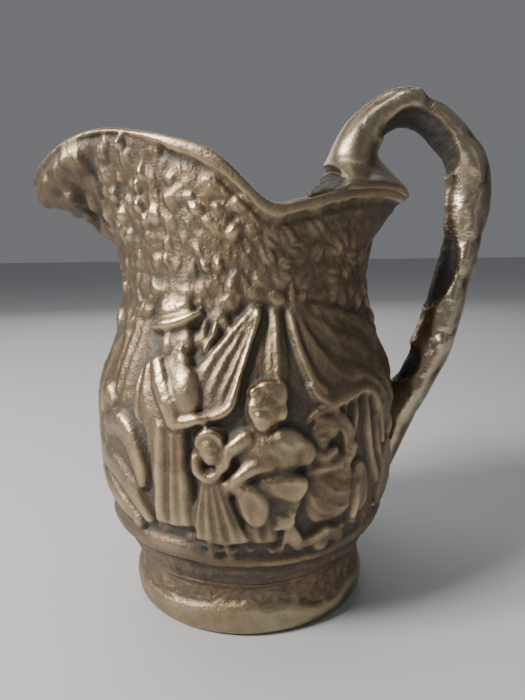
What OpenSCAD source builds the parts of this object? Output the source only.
// Cast brass pouring jug with a pulled spout, a hollow branch handle and a plain ring foot.
// The body is cast in two halves that meet on the plane through spout and handle and are
// brazed together; foot, floor disc and handle are separate pieces brazed on.
// Millimetres, +Z up, spout towards -X, handle towards +X. The origin is on the ground
// plane under the middle of the overall box; the jug's own axis is at x = axis_x.

/* [Body] */
// Radius of the belly
body_r = 60; // [56:0.5:63]
// Radius of the neck, its narrowest place
neck_r = 48.3; // [45:0.5:51]
// Height of the neck's narrowest place above the ground
neck_z = 129; // [124:0.5:133]
// Thickness of the cast wall
wall = 3.6; // [3:0.1:4.2]

/* [Spout and rim] */
// Reach of the spout's tip from the jug's axis
spout_reach = 83; // [76:0.5:90]
// Height of the spout's tip
spout_tip_z = 164; // [158:0.5:170]
// Extra height of the rim's crest behind the tip
crest_lift = 0; // [-6:0.5:6]

/* [Foot] */
// Radius of the foot's rolled edge
foot_r = 47.6; // [46.5:0.1:49]
// Height of the foot ring
foot_h = 20.5; // [18:0.5:20.5]
// Radius of the flat that the foot stands on, its inner edge
foot_flat_in = 39.5; // [38:0.5:40.5]
// Radius of the disc that closes the bottom of the body
floor_r = 42.4; // [41.6:0.1:43]
// Thickness of that disc
floor_t = 4; // [3:0.5:4.5]

/* [Handle] */
// Thickness of the branch, seen from the side
handle_t = 15; // [12:0.5:17]
// Width of the branch, seen from the back
handle_w = 17; // [14:0.5:18.5]
// Half angle of the hood where the handle forks over the rim
saddle_a = 44; // [38:1:48]
// Size of the braze fillets
braze = 1.6; // [1:0.1:2]

/* [Hidden] */
brass = [0.55, 0.45, 0.27];
filler = [0.66, 0.56, 0.34];
axis_x = -(97.2 - spout_reach) / 2;   // middle of the overall length is at x = 0
floor_z = foot_h;                     // underside of the floor and lower edge of the body
da = 5;                               // degrees between two meridians
na = 180 / da;
eps = 0.03;

function smooth(t) = let(u = min(1, max(0, t))) u * u * (3 - 2 * u);
function fold(a) = let(m = abs(a) % 360) m > 180 ? 360 - m : m;

// Rim: radius and height against the angle from the handle side (0) to the spout (180).
rim_r_table = [[0, 64.5], [10, 61], [25, 56], [45, 52.5], [65, 51], [78, 50], [92, 49.6],
               [112, 49.6], [124, 50.6], [135, 52.6], [145, 55.6], [156, 61.5], [166, 70],
               [173, 77.5], [180, 83]];
rim_z_table = [[0, 157.2], [10, 158.5], [25, 159.3], [45, 158], [65, 154.2], [78, 152],
               [81.5, 154.2], [84.6, 157.4], [88.7, 161], [92, 164], [96, 167.2],
               [102, 170.5], [112, 174.3], [124, 177], [135, 178.8], [145, 180.2],
               [156, 179.7], [166, 175.6], [173, 170], [180, 164]];
function mean5(t, a) = (lookup(fold(a - 4), t) + lookup(fold(a - 2), t) + lookup(fold(a), t)
                        + lookup(fold(a + 2), t) + lookup(fold(a + 4), t)) / 5;
function spout_w(a) = smooth((fold(a) - 130) / 50);
function rim_r(a) = mean5(rim_r_table, a) + (spout_reach - 82.2) * spout_w(a);
function rim_z(a) = mean5(rim_z_table, a) + (spout_tip_z - 164.9) * smooth((fold(a) - 162) / 18)
                    + crest_lift * smooth((fold(a) - 85) / 50) * (1 - smooth((fold(a) - 150) / 30));

// Outer meridian of the lower body, from its lower edge on the foot up to the belly.
low = [[foot_r - 1.6, floor_z], [foot_r, floor_z + 2], [50.4, 25],
       [51.9, 28], [53.6, 32], [56, 37], [58.3, 43], [59.5, 50]];
low_in = [[floor_r, floor_z], [floor_r, floor_z + floor_t]];
belly_z = [58, 66, 74, 83];
flank_n = 7;
flare_n = 11;
function flank_r(z) = body_r + (neck_r - body_r) * smooth((z - 82) / (neck_z - 82));
function outer_low(k) = k < 2 ? low[k] : [low[k][0] + (body_r - 60) * (k - 1) / 6, low[k][1]];
outer_fixed = concat([for (k = [0:7]) outer_low(k)],
                     [for (z = belly_z) [body_r + 0.25 * sin((z - 58) * 7), z]],
                     [for (i = [1:flank_n]) let(z = 83 + (neck_z - 83) * i / flank_n) [flank_r(z), z]]);
function flare(a, s) = [neck_r + (rim_r(a) - neck_r) * pow(s, 2.2),
                        neck_z + (rim_z(a) - neck_z) * s];
function outer_line(a) = concat(outer_fixed, [for (i = [1:flare_n]) flare(a, i / flare_n)]);
// The inner line is the outer one moved in by the wall along its own normal.
function along(l, k) = let(d = l[min(k + 1, len(l) - 1)] - l[max(k - 1, 0)]) d / norm(d);
function inner_at(l, k) = let(t = along(l, k)) l[k] + wall * [-t[1], t[0]];
function inner_line(l) = concat(low_in, [for (k = [2:len(l) - 1]) inner_at(l, k)]);
// The lip is rounded: one more pair of points, closer together and further out along the wall.
function lip_pair(o, i, t) = [o * 0.72 + i * 0.28 + t * 1.1, o * 0.28 + i * 0.72 + t * 1.1];
function meridian(a) = let(o = outer_line(a), i = inner_line(o), n = len(o) - 1,
                           p = lip_pair(o[n], i[n], along(o, n)))
                       [concat(o, [p[0]]), concat(i, [p[1]])];
function turn(p, a) = [p[0] * cos(a), p[0] * sin(a), p[1]];

// Shell over the angles 0 to 180 from two matching chains of points per meridian.
module half_shell() {
    m = [for (j = [0:na]) meridian(j * da)];
    n = len(m[0][0]);
    pts = [for (j = [0:na]) for (c = [0, 1]) for (k = [0:n - 1]) turn(m[j][c][k], j * da)];
    function id(j, c, k) = (j * 2 + c) * n + k;
    faces = concat(
        [for (j = [0:na - 1]) for (k = [0:n - 2]) for (f = [
            [id(j, 0, k), id(j, 0, k + 1), id(j + 1, 0, k + 1)],
            [id(j, 0, k), id(j + 1, 0, k + 1), id(j + 1, 0, k)],
            [id(j, 1, k), id(j + 1, 1, k + 1), id(j, 1, k + 1)],
            [id(j, 1, k), id(j + 1, 1, k), id(j + 1, 1, k + 1)]]) f],
        [for (j = [0:na - 1]) for (f = [
            [id(j, 0, n - 1), id(j, 1, n - 1), id(j + 1, 1, n - 1)],
            [id(j, 0, n - 1), id(j + 1, 1, n - 1), id(j + 1, 0, n - 1)],
            [id(j, 0, 0), id(j + 1, 1, 0), id(j, 1, 0)],
            [id(j, 0, 0), id(j + 1, 0, 0), id(j + 1, 1, 0)]]) f],
        [for (k = [0:n - 2]) for (f = [
            [id(0, 0, k), id(0, 1, k), id(0, 1, k + 1)],
            [id(0, 0, k), id(0, 1, k + 1), id(0, 0, k + 1)],
            [id(na, 0, k), id(na, 1, k + 1), id(na, 1, k)],
            [id(na, 0, k), id(na, 0, k + 1), id(na, 1, k + 1)]]) f]);
    polyhedron(points = pts, faces = faces, convexity = 6);
}

// Solid that fills the body's outer surface, closed over the rim.
module half_fill() {
    o = [for (j = [0:na]) let(m = meridian(j * da), n = len(m[0]) - 1)
            concat([for (k = [2:n]) m[0][k]], [m[1][n]])];
    n = len(o[0]);
    pts = concat([for (j = [0:na]) for (k = [0:n - 1]) turn(o[j][k], j * da)],
                 [[0, 0, 160], [0, 0, o[0][0][1]]]);
    function id(j, k) = j * n + k;
    t = (na + 1) * n;
    faces = concat(
        [for (j = [0:na - 1]) for (k = [0:n - 2]) for (f = [
            [id(j, k), id(j, k + 1), id(j + 1, k + 1)],
            [id(j, k), id(j + 1, k + 1), id(j + 1, k)]]) f],
        [for (j = [0:na - 1]) [t, id(j + 1, n - 1), id(j, n - 1)]],
        [for (j = [0:na - 1]) [t + 1, id(j, 0), id(j + 1, 0)]],
        [for (k = [0:n - 2]) [t + 1, id(0, k + 1), id(0, k)]], [[t + 1, t, id(0, n - 1)]],
        [for (k = [0:n - 2]) [t + 1, id(na, k), id(na, k + 1)]], [[t + 1, id(na, n - 1), t]]);
    polyhedron(points = pts, faces = faces, convexity = 6);
}

module body_fill() {
    half_fill();
    mirror([0, 1, 0]) half_fill();
}

// Foot: a turned ring, hollow underneath, with a rolled lower edge and a flat to stand on.
module foot_ring() {
    color(brass) rotate_extrude($fn = 120)
        polygon([[foot_flat_in, 0], [foot_r - 3.2, 0], [foot_r - 1.6, 0.8], [foot_r - 0.5, 2.6],
                 [foot_r, 5.2], [foot_r - 0.1, 7.8], [foot_r - 0.7, 10.2], [foot_r - 1.4, 13],
                 [foot_r - 1.6, 16.5], [foot_r - 1.6, foot_h], [foot_r - 6.4, foot_h],
                 [foot_r - 6.4, 9], [foot_r - 7.4, 3]]);
}

// Disc that closes the bottom: it drops into the body and rests on the foot.
module floor_disc() {
    color(brass) translate([0, 0, floor_z]) cylinder(r = floor_r - 0.1, h = floor_t, $fn = 120);
}

// Fillet of filler inside the corner between foot and floor.
module foot_braze() {
    c = foot_r - 6.4;
    color(filler) rotate_extrude($fn = 120)
        polygon([[c, floor_z], [c, floor_z - braze * 1.3], [c - braze * 0.35, floor_z - braze * 0.6],
                 [c - braze * 1.3, floor_z]]);
}

// Fillet of filler inside, where the floor disc meets the wall.
module floor_braze() {
    z = floor_z + floor_t;
    color(filler) rotate_extrude($fn = 120)
        polygon([[floor_r - braze * 1.3, z], [floor_r - 0.1, z], [floor_r, z + 0.08],
                 [floor_r + braze * 1.1, z + 0.08 + braze * 0.58], [floor_r - 0.1, z + braze * 0.6]]);
}

// Bead of filler along the inside of a seam, from the lip down to the floor's fillet.
module seam_braze(a) {
    l = meridian(a)[1];
    n = len(l) - 3;
    function out(k, g) = let(t = along(l, k)) l[k] + g * [-t[1], t[0]];
    color(filler) resize([0, 0, 0]) difference() {
        rotate([0, 0, a]) rotate([90, 0, 0])
            translate([0, 0, -braze * 0.75]) linear_extrude(height = braze * 1.5)
                polygon(concat([for (k = [2:n]) out(k, eps)], [for (k = [n:-1:2]) out(k, eps + braze * 0.5)]));
        half_shell();
        mirror([0, 1, 0]) half_shell();
    }
}

// Centre line of the branch: x from the jug's axis, z, half thickness and half width factors.
branch = [[42.6, 169.5, 1.46, 1.42], [43.6, 176, 1.2, 1.22], [47.3, 183.2, 1.04, 1.06], [53.6, 188.6, 0.96, 0.98],
          [62, 191.6, 1.0, 0.98], [71.5, 188, 0.95, 0.95],
          [81.5, 179, 1.0, 1.0], [87.4, 169.5, 1.12, 1.05], [88.6, 158, 1.12, 1.0], [87.2, 145, 1.02, 0.96],
          [84.4, 132, 1.02, 1.0], [81.4, 120, 1.02, 0.94], [78.9, 108, 1.04, 0.96],
          [75.4, 97, 1.04, 1.0], [70, 86, 1.02, 1.0], [64.2, 75, 1.0, 0.96], [60, 63.5, 0.9, 0.88],
          [56.6, 52, 0.72, 0.75], [53, 41, 0.45, 0.5]];
nb = len(branch) - 1;
sub = 2;
function catmull(p0, p1, p2, p3, t) = 0.5 * (2 * p1 + (p2 - p0) * t + (2 * p0 - 5 * p1 + 4 * p2 - p3) * t * t
                                          + (3 * p1 - p0 - 3 * p2 + p3) * t * t * t);
line = concat([for (i = [0:nb - 1]) for (s = [0:sub - 1])
    catmull(branch[max(i - 1, 0)], branch[i], branch[i + 1], branch[min(i + 2, nb)], s / sub)], [branch[nb]]);
function ring(k) = let(c = line[k], d = line[min(k + 1, len(line) - 1)] - line[max(k - 1, 0)],
        t = [d[0], d[1]] / norm([d[0], d[1]]), u = [-t[1], t[0]])
    [for (f = [0:18:359]) [c[0] + u[0] * handle_t / 2 * c[2] * cos(f), handle_w / 2 * c[3] * sin(f),
                           c[1] + u[1] * handle_t / 2 * c[2] * cos(f)]];
module wrap(p) { hull() polyhedron(points = p, faces = [[for (i = [0:len(p) - 1]) i]]); }

// The root forks into a hood that straddles the back of the rim: its lower edge runs along
// the lip and its brow runs from each wing tip up to a peak over the mouth.
function lip(q) = let(m = meridian(q), n = len(m[0]) - 1) turn((m[0][n] + m[1][n]) / 2, q);
brow = [[33.2, 0, 170.4], [34.6, 7, 169.8], [36.2, 13, 168], [37.4, 20, 165.4], [38, 28, 162.4], [37.4, 35, 160]];
wings = len(brow) - 1;
function brow_at(i) = let(p = brow[i], e = lip(saddle_a), w = i / wings)
    [p[0] + (e[0] - 37.4) * w, p[1] + (abs(e[1]) - 35) * w, p[2]];
module bead(p, r) { translate(p) sphere(r = r, $fn = 12); }
module hood() {
    hull() {
        wrap(ring(0));
        for (i = [-2:2]) bead(lip(i * saddle_a / wings), 2.1);
    }
    for (s = [0, 1]) mirror([0, s, 0]) for (i = [0:wings - 1]) hull() {
        bead(lip(i * saddle_a / wings), 2.1);
        bead(lip((i + 1) * saddle_a / wings), 2.1);
        bead(brow_at(i), 2);
        bead(brow_at(i + 1), 2);
    }
}
module branch_solid() {
    for (k = [0:len(line) - 2]) wrap(concat(ring(k), ring(k + 1)));
    hood();
}

// Ribbon of filler between the hood and the top of the lip.
module saddle_ribbon() {
    s = 12;
    function sec(q) = let(m = meridian(q), n = len(m[0]) - 1, t = along(m[0], n - 1), o = m[0][n], i = m[1][n],
                          w = (i - o) * 0.25)
        [o - w + eps * t, o - w + 0.7 * t, i + w + 0.7 * t, i + w + eps * t];
    pts = [for (j = [0:s]) let(q = (saddle_a - 2) * (2 * j / s - 1)) for (p = sec(q)) turn(p, q)];
    function id(j, k) = j * 4 + k % 4;
    faces = concat([for (j = [0:s - 1]) for (k = [0:3]) for (f = [
            [id(j, k), id(j, k + 1), id(j + 1, k + 1)], [id(j, k), id(j + 1, k + 1), id(j + 1, k)]]) f],
        [[0, 2, 1], [0, 3, 2], [id(s, 0), id(s, 1), id(s, 2)], [id(s, 0), id(s, 2), id(s, 3)]]);
    polyhedron(points = pts, faces = faces, convexity = 4);
}

module handle_saddle_braze() {
    color(filler) resize([0, 0, 0]) difference() { saddle_ribbon(); body_fill(); }
}

module branch_handle() {
    color(brass) difference() {
        branch_solid();
        body_fill();
        saddle_ribbon();
        translate([36.5, 0, 158]) scale([17, 14, 9.2]) sphere(r = 1, $fn = 32);
    }
}

module body_far_half() { color(brass) half_shell(); }
module body_near_half() { color(brass) mirror([0, 1, 0]) half_shell(); }

module place() { translate([axis_x, 0, 0]) children(); }

place() body_near_half();
place() body_far_half();
place() foot_ring();
place() floor_disc();
place() branch_handle();
place() seam_braze(180);  // spout_seam_braze
place() seam_braze(0);  // rear_seam_braze
place() foot_braze();
place() floor_braze();
place() handle_saddle_braze();
